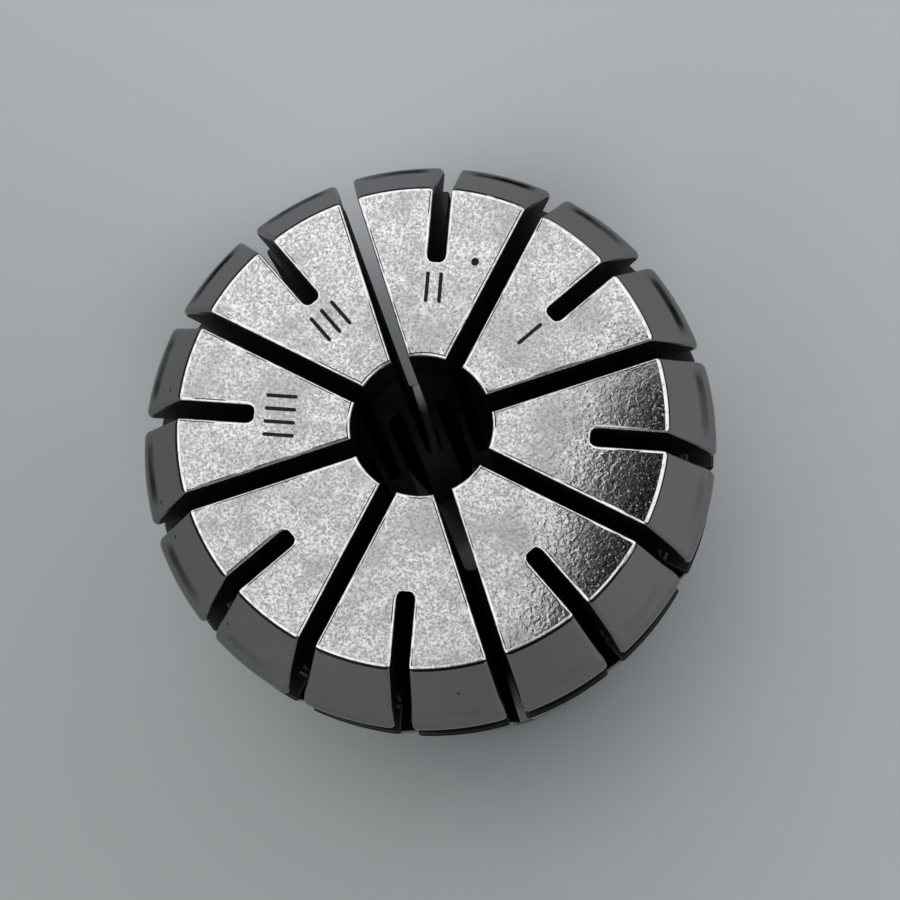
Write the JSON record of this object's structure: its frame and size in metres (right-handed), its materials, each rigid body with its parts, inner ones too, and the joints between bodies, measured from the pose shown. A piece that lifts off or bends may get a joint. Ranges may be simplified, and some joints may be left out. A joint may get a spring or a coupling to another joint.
{
  "type": "er collet",
  "caption": "Slotted spring collet with a tapered body, a nose cone, an extraction groove and a round bore for a straight tool shank.",
  "frame": {"origin": "centre of the tail end, on the axis of the bore", "axes": "+Z along the axis from the tail end to the face; +X through the middle of one slot cut from the face"},
  "size_m": [0.033, 0.033, 0.04],
  "materials": {
    "steel": "hardened spring steel, ground on the taper, cone and bore, satin on the face"
  },
  "bodies": {
    "root": {"collet": "steel"}
  },
  "joints": []
}
